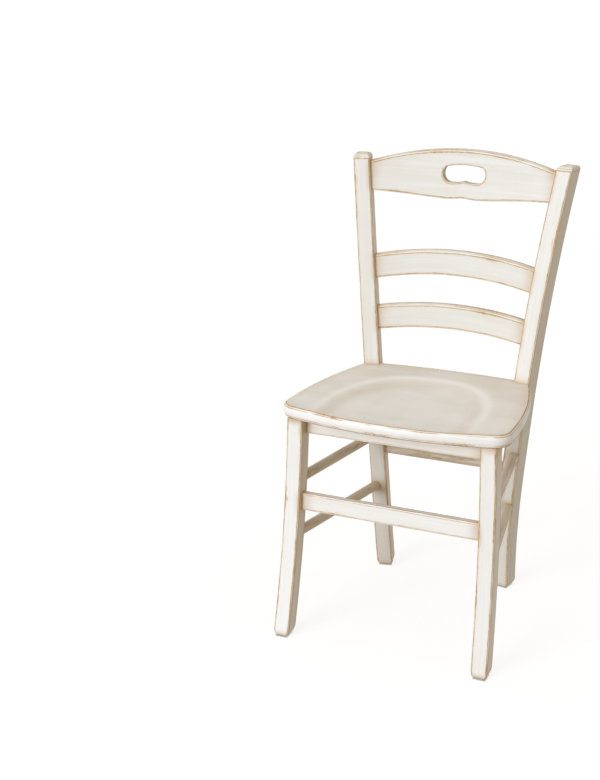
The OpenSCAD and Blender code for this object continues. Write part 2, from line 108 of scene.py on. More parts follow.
def make(name, P, marks, wrap=False, replaces=None, slot="ivory_paint", seed=0):
    """A mesh from a grid of rings P (rings, points, xyz), in millimetres. Open ends are closed
    by a fan. marks holds the paint's values at each point: line, power, glaze, rub, tan,
    painted_shade and ridge_highlight, which are 0 when left out, and run, the place along and
    across the grain. tan and painted_shade are painted warm and grey shade, ridge_highlight a
    painted highlight."""
    R, N = P.shape[:2]
    co = P.reshape(-1, 3).copy()
    idx = np.arange(R * N).reshape(R, N)
    rows = R if wrap else R - 1
    a = idx[np.arange(rows)]
    b = idx[(np.arange(rows) + 1) % R]
    quads = np.stack([a, np.roll(a, -1, 1), np.roll(b, -1, 1), b], -1).reshape(-1, 4)
    faces = quads.tolist()
    values = {k: np.array(v).reshape(R * N, -1).astype(float) for k, v in marks.items()}
    if not wrap:
        centres = np.array([P[0].mean(0), P[-1].mean(0)])
        co = np.vstack([co, centres])
        values = {k: np.vstack([v, v[:N].mean(0), v[-N:].mean(0)]) for k, v in values.items()}
        first, last = R * N, R * N + 1
        for i in range(N):
            j = (i + 1) % N
            faces.append([first, idx[0, j], idx[0, i]])
            faces.append([last, idx[-1, i], idx[-1, j]])
    # outward faces
    volume = 0.0
    q = co[quads]
    for t in ((0, 1, 2), (0, 2, 3)):
        volume += np.einsum("ij,ij->i", q[:, t[0]], np.cross(q[:, t[1]], q[:, t[2]])).sum()
    if volume < 0:
        faces = [f[::-1] for f in faces]
    co[:, 1] += Y0
    mesh = bpy.data.meshes.new(name)
    mesh.from_pydata((co / 1000).tolist(), [], [[int(i) for i in f] for f in faces])
    mesh.update()
    mesh.polygons.foreach_set("use_smooth", [True] * len(mesh.polygons))
    for key in ("line", "power", "glaze", "rub", "tan", "painted_shade", "ridge_highlight"):
        v = values.get(key)
        attribute = mesh.attributes.new(key, "FLOAT", "POINT")
        attribute.data.foreach_set("value", (np.zeros(len(co)) if v is None else v[:, 0]).astype(np.float32))
    run = values["run"] / 1000 + np.array([seed * 1.37, seed * 0.71, seed * 0.43])
    attribute = mesh.attributes.new("run", "FLOAT_VECTOR", "POINT")
    attribute.data.foreach_set("vector", run.astype(np.float32).ravel())
    ob = bpy.data.objects.new(name, mesh)
    bpy.context.scene.collection.objects.link(ob)
    ob.data.materials.append(MATERIALS[slot])
    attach(ob, "root")
    if replaces:
        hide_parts(replaces)


def flat_steps(length, n):
    """n + 1 places from 0 to length, close together at both ends."""
    return length * (1 - np.cos(np.linspace(0, math.pi, n + 1))) / 2


def section(a, b, radii, n_arc=9, n_a=12, n_b=12, side_power=0.45):
    """Rounded rectangle of half sizes a and b, counter-clockwise from its +a side, with the
    radius of each corner in the order ++, -+, --, +-. Gives the points, the distance to the
    nearest worn line (negative on a flat) and the strength of that line."""
    pts, line, power = [], [], []
    corners = [(a, b, 0), (-a, b, 90), (-a, -b, 180), (a, -b, 270)]
    for k, (cx, cy, start) in enumerate(corners):
        r = radii[k]
        c = np.array([cx - math.copysign(r, cx), cy - math.copysign(r, cy)])
        length = r * math.pi / 2
        side_first = k in (0, 2)  # corners ++ and -- turn from a side flat to a front or back flat
        for i in range(n_arc + 1):
            t = math.radians(start + 90 * i / n_arc)
            pts.append(c + r * np.array([math.cos(t), math.sin(t)]))
            s = length * i / n_arc
            d0, d1 = OFF + s, OFF + length - s
            line.append(min(d0, d1))
            first = d0 < d1
            power.append(side_power if first == side_first else 1.0)
        # the flat that follows this corner
        nk = (k + 1) % 4
        rn = radii[nk]
        nx, ny, _ = corners[nk]
        cn = np.array([nx - math.copysign(rn, nx), ny - math.copysign(rn, ny)])
        tn = math.radians(start + 90)
        p0 = c + r * np.array([math.cos(tn), math.sin(tn)])
        p1 = cn + rn * np.array([math.cos(tn), math.sin(tn)])
        width = np.linalg.norm(p1 - p0)
        steps = n_a if side_first else n_b
        for t in flat_steps(width, steps)[1:-1]:
            pts.append(p0 + (p1 - p0) * t / width)
            line.append(OFF - min(t, width - t))
            power.append(1.0 if side_first else side_power)
    return np.array(pts), np.array(line), np.array(power)


def wear_shape(P, amount, seed):
    """Slight unevenness of a hand-finished surface: moves points along their own ring's
    direction to the centre, never outward."""
    R, N = P.shape[:2]
    c = P.mean(1, keepdims=True)
    v = c - P
    length = np.linalg.norm(v, axis=2, keepdims=True)
    v = v / np.maximum(length, 1e-6)
    amounts = np.empty((R, N, 1))
    for i in range(R):
        for j in range(N):
            p = Vector(P[i, j]) / 38.0 + Vector((seed * 3.1, 0, 0))
            amounts[i, j, 0] = amount * (0.5 + 0.5 * noise.noise(p))
    return P + v * np.minimum(amounts, length * 0.3)


def joint_glaze(dist, reach):
    """1 at a joint, fading to 0 at reach."""
    return np.clip(1 - np.abs(dist) / reach, 0, 1) ** 1.6


def leg_rings(h, r_low, r_top):
    """Rings of a post or leg from the floor up. Each is its height, "in" with an inset or "cap"
    with a share of the end face, and its distance to the worn line at its end. The foot is
    rounded by r_low over the height FOOT_H, and the top by r_top if that is above 0."""
    rings = []

    def ring(z, how, amount, distance):
        rings.append((z, how, amount, distance))

    for share in (0.08, 0.3, 0.55, 0.8):
        ring(0.0, "cap", share, -8.0)
    for i in range(11):
        t = math.radians(90 * i / 10)
        z = FOOT_H * (1 - math.cos(t))
        ring(z, "in", r_low * (1 - math.sin(t)), FOOT_LINE - z)
    body = np.linspace(FOOT_H, h - r_top, max(8, int((h - FOOT_H - r_top) / RING_STEP)))
    near = np.concatenate([FOOT_H + np.array([1.5, 3.0]), h - r_top - np.array([2.6, 1.6, 0.8])])
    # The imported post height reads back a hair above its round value, so on a back post the
    # ring where the top's rounding starts comes twice, and some faces there have no area.
    for z in sorted(set(np.round(np.concatenate([body[1:], near]), 3))):
        if z >= h - r_top and r_top > 0:
            continue
        to_top = z - (h - r_top) + 1.0 if r_top > 0 else -99
        ring(z, "in", 0.0, max(FOOT_LINE - z, to_top))
    if r_top > 0:
        for i in range(9):
            t = math.radians(90 * i / 8)
            s = r_top * math.pi / 2 * i / 8
            ring(h - r_top + r_top * math.sin(t), "in", r_top * (1 - math.cos(t)),
                 min(1.0 + s, 0.6 + r_top * math.pi / 2 - s))
        for share in (0.94, 0.86, 0.7, 0.45, 0.2, 0.05):
            ring(h, "cap", share, -15 * (1 - share))
    else:
        for share in (0.8, 0.4, 0.08):
            ring(h, "cap", share, -8.0)
    return rings


def standing(name, side, x_of, y_of, w, d, h, toe, r_low, r_top, joints, painted_shade, tan, seed):
    """A post or leg that stands on the floor, its section turned by toe. It is made on the
    right, and mirrored if side is below 0. joints lists the height, reach and side of what
    joins it. painted_shade(z) is how much painted grey shade it gets, and tan(z) how much
    painted warm shade on its inner side, outer side and front."""
    base, line, power = section(w / 2 - SKIN, d / 2 - SKIN, [ARRIS] * 4, side_power=0.7)
    line = line - 1.2  # the line lies on the rounding, near its middle
    n = len(base)
    sideways, backward = base[:, 0] / (w / 2), base[:, 1] / (d / 2)
    across = np.clip((np.abs(sideways) - 0.86) / 0.14, 0, 1)
    behind = np.clip((backward - 0.86) / 0.14, 0, 1)
    points = []
    marks = {key: [] for key in ("line", "power", "glaze", "rub", "tan", "painted_shade", "run")}
    inset = 0.0
    for z, how, amount, distance in leg_rings(h, r_low, r_top):
        cap = how == "cap"
        if not cap:
            inset = amount
        p = base * np.array([1 - inset / (w / 2), 1 - inset / (d / 2)])
        if cap:
            p = p * amount
        x = x_of(z) + p[:, 0] * math.cos(toe) + p[:, 1] * math.sin(toe)
        y = y_of(z) - p[:, 0] * math.sin(toe) + p[:, 1] * math.cos(toe)
        points.append(np.stack([x, y, np.full(n, z)], 1))
        glaze = np.zeros(n)
        for height, reach, px, py in joints:
            facing = np.clip(sideways * px + backward * py - 0.35, 0, 1) / 0.65
            glaze = np.maximum(glaze, joint_glaze(max(abs(z - height) - reach, 0), 16) * facing)
        foot = np.clip(1 - z / 15, 0, 1)
        # painted warm shade: tan(z) gives it for the inner side, outer side and front, and the back faces
        # get a set amount; the front is also browner towards the foot
        inner, outer, front = tan(z)
        front = max(front, 0.6 * foot)
        sides = np.where(base[:, 0] < 0, inner, outer)
        warm_shade = front + (sides - front) * across + (0.4 - front) * behind * (1 - across)
        marks["line"].append(np.full(n, distance) if cap else np.maximum(line, distance))
        marks["power"].append(np.full(n, 0.8) if cap else power)
        marks["glaze"].append(np.maximum(glaze, 0.9 * foot ** 1.5))
        marks["rub"].append(np.full(n, 0.3 * foot))
        marks["tan"].append(np.clip(warm_shade, 0, 1))
        # painted grey shade along the piece's length
        marks["painted_shade"].append(np.full(n, painted_shade(z)))
        marks["run"].append(np.stack([np.full(n, z), p[:, 0], p[:, 1]], 1))
    P = wear_shape(np.array(points), 0.25, seed)
    P[:, :, 2] = np.maximum(P[:, :, 2], 0)
    if side < 0:
        P = P * np.array([-1, 1, 1])
    make(name + "_piece", P, marks, replaces=name, seed=seed)


def cross_piece(name, xs, middle, shape, tilt, seed, joint_at, painted_shade=0.0, tan=0.0):
    """A piece that runs along X through the places xs. middle(x) gives y and z of its middle,
    shape is what section() returns, tilt leans it backward, and joint_at is how far from the
    chair's middle it meets the posts or legs."""
    base, line, power = shape
    n = len(base)
    points = []
    marks = {key: [] for key in ("line", "power", "glaze", "run")}
    for x in xs:
        y, z = middle(x)
        points.append(np.stack([np.full(n, x), y + base[:, 0] + base[:, 1] * tilt, z + base[:, 1]], 1))
        to_joint = joint_at - abs(x)
        at_end = 0.6 - to_joint
        marks["line"].append(np.maximum(line, at_end))
        marks["power"].append(np.where(line > at_end, power, 0.8))
        marks["glaze"].append(np.full(n, joint_glaze(max(to_joint, 0), 30)))
        marks["run"].append(np.stack([np.full(n, x), base[:, 0], base[:, 1]], 1))
    P = wear_shape(np.array(points), 0.18, seed)
    # even painted warm and grey shade over the whole piece
    marks["tan"] = np.full(P.shape[:2], tan)
    marks["painted_shade"] = np.full(P.shape[:2], painted_shade)
    make(name + "_piece", P, marks, replaces=name, seed=seed)


def rung(name, a, b, inset, seed, shoulder=19.0):
    """A turned rung between the points a and b, ending inset from them inside the legs. Its
    glaze starts at shoulder from each of them."""
    a, b = np.array(a, float), np.array(b, float)
    v = b - a
    length = np.linalg.norm(v)
    u = v / length
    across = np.cross(u, [0, 0, 1.0])
    across /= np.linalg.norm(across)
    up = np.cross(across, u)
    n = 40
    ang = np.linspace(0, 2 * math.pi, n, endpoint=False)
    places = np.linspace(inset, length - inset, 90)
    points = []
    marks = {key: [] for key in ("line", "power", "glaze", "run")}
    for s in places:
        r = RUNG_D / 2 - 0.15 + 0.12 * noise.noise(Vector((s / 40, seed * 5.3, 0)))
        points.append(a + u * s + r * (np.cos(ang)[:, None] * across + np.sin(ang)[:, None] * up))
        from_end = min(s - shoulder, length - shoulder - s)
        marks["line"].append(np.full(n, max(-4.4, 0.8 - max(from_end, 0))))
        marks["power"].append(np.full(n, 1.0))
        marks["glaze"].append(np.full(n, joint_glaze(max(from_end, 0), 20)))
        marks["run"].append(np.stack([np.full(n, s), 2 * r * np.cos(ang), 2 * r * np.sin(ang)], 1))
    # painted warm shade: the rungs lie in shade under the seat
    marks["tan"] = np.full((len(places), n), 0.97)
    marks["rub"] = np.full((len(places), n), 0.32)
    make(name + "_piece", np.array(points), marks, replaces=name, seed=seed)


# ---------------------------------------------------------------- materials
def srgb(r, g, b, a=1.0):
    """Linear colour from the 0 to 255 values that a swatch reads as."""
    def lin(c):
        c /= 255
        return c / 12.92 if c <= 0.04045 else ((c + 0.055) / 1.055) ** 2.4
    return (lin(r), lin(g), lin(b), a)


class Nodes:
    """A material and short ways to add nodes to it. Each returns the new node's output."""

    def __init__(self, name):
        self.mat = bpy.data.materials.new(name)
        self.mat.use_nodes = True
        self.t = self.mat.node_tree
        self.bsdf = self.t.nodes["Principled BSDF"]

    def put(self, socket, value):
        if isinstance(value, bpy.types.NodeSocket):
            self.t.links.new(value, socket)
        elif value is not None:
            socket.default_value = value

    def attr(self, name, vector=False):
        n = self.t.nodes.new("ShaderNodeAttribute")
        n.attribute_name = name
        return n.outputs["Vector" if vector else "Fac"]

    def math(self, op, a, b=None, clamp=False):
        n = self.t.nodes.new("ShaderNodeMath")
        n.operation = op
        n.use_clamp = clamp
        self.put(n.inputs[0], a)
        if b is not None:
            self.put(n.inputs[1], b)
        return n.outputs[0]

    def ramp(self, v, low, high, to_low=0.0, to_high=1.0):
        n = self.t.nodes.new("ShaderNodeMapRange")
        n.interpolation_type = "SMOOTHSTEP"
        self.put(n.inputs["Value"], v)
        for key, x in (("From Min", low), ("From Max", high), ("To Min", to_low), ("To Max", to_high)):
            self.put(n.inputs[key], x)
        return n.outputs[0]

    def noise(self, vector, scales, detail=2.0, rough=0.55, shift=0.0):
        m = self.t.nodes.new("ShaderNodeMapping")
        self.put(m.inputs["Vector"], vector)
        m.inputs["Scale"].default_value = scales
        m.inputs["Location"].default_value = (shift, shift * 1.7, shift * 0.6)
        n = self.t.nodes.new("ShaderNodeTexNoise")
        self.put(n.inputs["Vector"], m.outputs[0])
        n.inputs["Scale"].default_value = 1.0
        n.inputs["Detail"].default_value = detail
        n.inputs["Roughness"].default_value = rough
        return n.outputs["Fac"]

    def mix(self, fac, a, b, how="MIX"):
        n = self.t.nodes.new("ShaderNodeMix")
        n.data_type = "RGBA"
        n.blend_type = how
        self.put(n.inputs["Factor"], fac)
        self.put(n.inputs[6], a)
        self.put(n.inputs[7], b)
        return n.outputs[2]

    def bump(self, height, distance, strength=1.0, normal=None):
        n = self.t.nodes.new("ShaderNodeBump")
        n.inputs["Distance"].default_value = distance
        n.inputs["Strength"].default_value = strength
        self.put(n.inputs["Height"], height)
        if normal is not None:
            self.put(n.inputs["Normal"], normal)
        return n.outputs[0]


def painted():
    """Ivory paint rubbed through to ochre along the worn lines, with painted grey and warm shade and a
    painted highlight, driven by the meshes' marks.
    """
    m = Nodes("ivory_paint")
    run = m.attr("run", True)
    line, power = m.attr("line"), m.attr("power")
    glaze, rub, tan = m.attr("glaze"), m.attr("rub"), m.attr("tan")
    painted_shade, ridge_highlight = m.attr("painted_shade"), m.attr("ridge_highlight")

    slow = m.noise(run, (16, 34, 34), 2, 0.5)
    quick = m.noise(run, (95, 160, 160), 2, 0.6, 3.1)
    here = m.noise(run, (26, 60, 60), 2, 0.55, 7.7)
    wide = m.noise(run, (11, 30, 30), 2, 0.5, 13.3)
    dashes = m.noise(run, (60, 480, 480), 2, 0.6, 5.9)
    streak = m.noise(run, (5, 190, 190), 3, 0.6, 2.3)
    cloud = m.noise(run, (9, 17, 17), 3, 0.55, 9.1)
    grain = m.noise(run, (22, 1400, 1400), 2, 0.6, 1.3)

    # the worn line wanders about its place by a millimetre or so
    w = m.math("ADD", line, m.math("MULTIPLY", m.math("SUBTRACT", slow, 0.5), 2.2))
    w = m.math("ADD", w, m.math("MULTIPLY", m.math("SUBTRACT", quick, 0.5), 1.3))
    off = m.math("ABSOLUTE", w)
    there = m.math("MULTIPLY", m.ramp(here, 0.26, 0.46, 0.55, 1.0), power)
    half = m.math("ADD", 0.75, m.math("MULTIPLY", m.ramp(wide, 0.48, 0.72), 0.9))
    main = m.math("MULTIPLY", m.ramp(m.math("SUBTRACT", off, half), -0.35, 0.55, 1.0, 0.0), there)
    # a second, thinner and more broken line on the rounding
    second = m.ramp(m.math("ABSOLUTE", m.math("SUBTRACT", w, 4.2)), 0.3, 1.1, 1.0, 0.0)
    second = m.math("MULTIPLY", second, m.math("MULTIPLY", m.ramp(wide, 0.4, 0.55), power))
    second = m.math("MULTIPLY", second, 0.8)
    # a paler band between the two lines
    bright = m.ramp(m.math("ABSOLUTE", m.math("SUBTRACT", w, 1.9)), 0.3, 1.1, 1.0, 0.0)
    bright = m.math("MULTIPLY", bright, m.math("MULTIPLY", m.ramp(quick, 0.4, 0.6, 0.3, 1.0), power))
    # rubbed patches, made of dashes along the grain
    patch = m.ramp(off, 3.0, 9.0, 1.0, 0.0)
    patch = m.math("MULTIPLY", patch, m.ramp(m.math("ADD", wide, m.math("MULTIPLY", rub, 0.4)), 0.62, 0.78))
    patch = m.math("MULTIPLY", patch, m.ramp(dashes, 0.47, 0.6))
    worn = m.math("MAXIMUM", m.math("MAXIMUM", main, second), patch)

    ivory = m.mix(m.ramp(streak, 0.3, 0.75), srgb(243, 241, 236), srgb(237, 234, 226))
    ivory = m.mix(m.ramp(cloud, 0.45, 0.75, 0.0, 0.4), ivory, srgb(233, 227, 215))
    # painted grey shade: darkens whole pieces that lie in shade, such as the crest rail, slats and posts
    ivory = m.mix(painted_shade, ivory, (0.813, 0.803, 0.758, 1), "MULTIPLY")
    # painted warm shade: sides, backs, undersides and rungs that lie in shade turn tan, varied by the
    # streaks
    tan = m.math("MULTIPLY", tan, m.ramp(streak, 0.25, 0.75, 0.8, 1.15))
    ivory = m.mix(tan, ivory, srgb(213, 198, 174))
    # painted highlight along the ridge of the seat's hollow
    ivory = m.mix(m.math("MULTIPLY", ridge_highlight, 0.9), ivory, srgb(250, 247, 240))
    ivory = m.mix(m.math("MULTIPLY", bright, 0.85), ivory, srgb(250, 249, 245))
    amber = m.math("MULTIPLY", glaze, m.ramp(cloud, 0.3, 0.7, 0.55, 1.0))
    ivory = m.mix(m.math("MULTIPLY", amber, 0.85), ivory, srgb(196, 168, 128))
    # a soft stain either side of the line
    stain = m.math("MULTIPLY", m.ramp(off, 0.6, 4.5, 1.0, 0.0), m.math("MULTIPLY", there, 0.28))
    ivory = m.mix(stain, ivory, srgb(214, 190, 152))
    ochre = m.mix(m.ramp(quick, 0.35, 0.65), srgb(206, 170, 108), srgb(166, 126, 70))
    # small brown flecks
    speck = m.noise(run, (170, 330, 330), 1, 0.5, 21.0)
    speck = m.math("MULTIPLY", m.ramp(speck, 0.77, 0.82), 0.5)
    colour = m.mix(speck, ivory, srgb(172, 140, 98))
    colour = m.mix(m.math("MULTIPLY", worn, 0.92), colour, ochre)
    m.put(m.bsdf.inputs["Base Color"], colour)

    rough = m.ramp(streak, 0.3, 0.7, 0.40, 0.52)
    rough = m.math("ADD", rough, m.math("MULTIPLY", worn, 0.18))
    m.put(m.bsdf.inputs["Roughness"], rough)
    m.bsdf.inputs["Specular IOR Level"].default_value = 0.4

    brush = m.math("ADD", m.math("MULTIPLY", grain, 0.5), m.math("MULTIPLY", streak, 0.5))
    normal = m.bump(brush, 0.00022)
    normal = m.bump(m.math("SUBTRACT", 1.0, worn), 0.00025, 1.0, normal)
    m.put(m.bsdf.inputs["Normal"], normal)
    return m.mat


def plain_wood():
    m = Nodes("bare_beech")
    c = m.t.nodes.new("ShaderNodeTexCoord").outputs["Object"]
    grain = m.noise(c, (900, 60, 900), 3, 0.6)
    wood = m.mix(m.ramp(grain, 0.3, 0.7), srgb(216, 182, 140), srgb(190, 150, 106))
    m.put(m.bsdf.inputs["Base Color"], wood)
    m.put(m.bsdf.inputs["Roughness"], m.ramp(grain, 0.3, 0.7, 0.55, 0.7))
    m.put(m.bsdf.inputs["Normal"], m.bump(grain, 0.0002))
    return m.mat


def zinc():
    m = Nodes("zinc_steel")
    c = m.t.nodes.new("ShaderNodeTexCoord").outputs["Object"]
    spots = m.noise(c, (1200, 1200, 1200), 3, 0.6)
    metal = m.mix(m.ramp(spots, 0.35, 0.65), srgb(196, 198, 200), srgb(166, 168, 170))
    m.put(m.bsdf.inputs["Base Color"], metal)
    m.bsdf.inputs["Metallic"].default_value = 1.0
    m.put(m.bsdf.inputs["Roughness"], m.ramp(spots, 0.3, 0.7, 0.3, 0.45))
    return m.mat


MATERIALS = {"ivory_paint": painted(), "bare_beech": plain_wood(), "zinc_steel": zinc()}

# ---------------------------------------------------------------- posts and legs
# Middles of the slats, as shares of the gap between the seat and the crest rail.
UPPER = SEAT_TOP + 0.569 * (CREST_LOW - SEAT_TOP)
LOWER = SEAT_TOP + 0.273 * (CREST_LOW - SEAT_TOP)
CREST_Z = CREST_LOW + 30
FOOT_R, POST_TOP_R = 9.0, 8.0
INNER, FRONT, BACK, OUTER = (-1, 0), (0, -1), (0, 1), (1, 0)  # sides of a right post or leg


# Painted warm shade of a back post's inner side, outer side and front; below the seat, where it lies in
# shade, the front gets some too, most towards the foot.
def post_shade_tan(z):
    if z > SEAT_LOW:
        return 0.7, 0.5, 0.0
    return 0.7, 0.3, 0.18 + 0.45 * max(0, 1 - z / 110)


# Painted warm shade of a front leg's inner side, outer side and front; the inner side deepens towards the
# seat.
def leg_shade_tan(z):
    return 0.5 + 0.45 * z / SEAT_LOW, 0.5, 0.0


# Painted grey shade of the front legs: the left one darker towards the floor, the right one darker overall
# and most near the floor.
def left_leg_painted_shade(z):
    return 0.2 * (1 - z / SEAT_LOW)


def right_leg_painted_shade(z):
    return 0.5 - 0.25 * z / SEAT_LOW


post_joints = [(CREST_Z, 22, *INNER), (UPPER, 20, *INNER), (LOWER, 20, *INNER),
               (UPPER_RUNG - RUNG_DROP, 8, *FRONT), (LOWER_RUNG - RUNG_DROP, 8, *FRONT),
               (BACK_RUNG, 8, *INNER), (SEAT_JOINT, 12, *FRONT), (SEAT_JOINT, 12, *INNER)]
# the back posts get an even painted grey shade of 0.7
for side, name, seed in ((-1, "left_back_post", 1), (1, "right_back_post", 2)):
    standing(name, side, post_x, post_y, POST_W, POST_D, POST_H, TOE, FOOT_R, POST_TOP_R,
             post_joints, lambda z: 0.7, post_shade_tan, seed)
leg_joints = [(UPPER_RUNG, 8, *BACK), (LOWER_RUNG, 8, *BACK), (STRETCHER_Z, 15, *INNER),
              (428, 12, *INNER), (LEG_JOINT, 2, *FRONT), (LEG_JOINT, 2, *OUTER)]
for side, name, painted_shade, seed in ((-1, "left_front_leg", left_leg_painted_shade, 3),
                               (1, "right_front_leg", right_leg_painted_shade, 4)):
    standing(name, side, leg_x, leg_y, LEG_W, LEG_D, SEAT_LOW, 0.0, FOOT_R, 0.0,
             leg_joints, painted_shade, leg_shade_tan, seed)

# ---------------------------------------------------------------- slats
SLAT_HALF_H = 25.0
SLAT_TOP_R, SLAT_LOW_R = 5.5, 2.5
TENON_SHOWN = 7.0  # how far a rail's visible mesh runs into its posts


def slat(name, z, rise, seed):
    """A slat that bows backward and rises by rise in its middle."""
    half = float(post_x(z)) - POST_W / 2
    radii = [SLAT_TOP_R, SLAT_TOP_R, SLAT_LOW_R, SLAT_LOW_R]
    base, line, power = section(RAIL_T / 2, SLAT_HALF_H, radii, n_arc=10, n_a=6, n_b=16)
    power = np.where((np.abs(base[:, 0]) > RAIL_T / 2 - 1.5) | (base[:, 1] > 24), 1.0, 0.6)

    def middle(x):
        arch = 1 - (x / half) ** 2
        return float(post_y(z)) + RAIL_BOW * arch, z + rise * arch

    xs = np.linspace(-half - TENON_SHOWN, half + TENON_SHOWN, 90)
    # the slats get painted grey shade
    cross_piece(name, xs, middle, (base, line, power), float(post_lean(z)), seed, half, painted_shade=0.95)


slat("upper_slat", UPPER, 18, 5)
slat("lower_slat", LOWER, 13, 6)

# ---------------------------------------------------------------- crest rail, a plate with a hole
crest_mid = (CREST_LOW - CREST_SAG + CHAIR_H) / 2
crest_half = float(post_x(CREST_LOW + 24)) - POST_W / 2
CREST_CORNER_R = 10.0
HOLE_X, HOLE_Z = 4.0, 857.0  # the hand hole and the rail's cusp sit a little to the right
HOLE_W, HOLE_H = 87.0, 35.0
HOLE_LOBE, HOLE_CUSP = 22.0, 3.5  # half width and height of the cusp in the hole's lower edge
HOLE_ARCH_R = 170.0  # radius of the hole's upper edge
HOLE_EDGE_R = 1.4


def crest_top(x):
    return CHAIR_H - CREST_RISE * (x / crest_half) ** 2


def crest_low(x):
    sag = (1 + np.cos(math.pi * np.minimum(1, np.abs(x) / crest_half))) / 2
    return CREST_LOW - CREST_SAG * sag + 3.0 * np.exp(-(((x - HOLE_X) / 18) ** 2))


def outline_at(n):
    """Crest outline as n points, counter-clockwise from its right end, corners rounded."""
    end = crest_half + TENON_SHOWN
    r = CREST_CORNER_R
    xs = np.linspace(end - r, -end + r, 400)
    top = np.stack([xs, crest_top(xs)], 1)
    xs = xs[::-1]
    low = np.stack([xs, crest_low(xs)], 1)

    def corner(c, a0):
        t = np.radians(np.linspace(a0, a0 + 90, 14)[1:-1])
        return np.stack([c[0] + r * np.cos(t), c[1] + r * np.sin(t)], 1)

    z_top, z_low = crest_top(end - r), crest_low(end - r)
    loop = np.vstack([
        corner((end - r, z_top - r), 0), top, corner((-end + r, z_top - r), 90),
        corner((-end + r, z_low + r), 180), low, corner((end - r, z_low + r), 270)])
    return resample(loop, n)


def resample(loop, n):
    """n points evenly spaced round a closed loop, from its first point."""
    closed = np.vstack([loop, loop[:1]])
    s = np.concatenate([[0], np.cumsum(np.linalg.norm(np.diff(closed, axis=0), axis=1))])
    t = np.linspace(0, s[-1], n, endpoint=False)
    return np.stack([np.interp(t, s, closed[:, i]) for i in range(2)], 1)


def hole_at(angles):
    """Hand hole outline where a ray from its middle at each angle meets it."""
    r = HOLE_H / 2
    cusp_r = (HOLE_LOBE * HOLE_LOBE + HOLE_CUSP * HOLE_CUSP) / (2 * HOLE_CUSP)

    def inside(x, z):
        if math.hypot(max(abs(x) - (HOLE_W / 2 - r), 0), z) > r:
            return False
        if math.hypot(x, z - (r - HOLE_ARCH_R)) > HOLE_ARCH_R:
            return False
        if abs(x) < HOLE_LOBE and z < -r + HOLE_CUSP + 1:
            if math.hypot(abs(x) - HOLE_LOBE, z - (cusp_r - r)) > cusp_r:
                return False
        return True

    pts = []
    for a in angles:
        lo, hi = 0.0, 60.0
        for _ in range(40):
            mid = (lo + hi) / 2
            if inside(mid * math.cos(a), mid * math.sin(a)):
                lo = mid
            else:
                hi = mid
        pts.append((HOLE_X + lo * math.cos(a), HOLE_Z + lo * math.sin(a)))
    return np.array(pts)


def normals(loop):
    """Unit normals of a counter-clockwise loop, outward."""
    t = np.roll(loop, -1, 0) - np.roll(loop, 1, 0)
    t /= np.linalg.norm(t, axis=1, keepdims=True)
    return np.stack([t[:, 1], -t[:, 0]], 1)


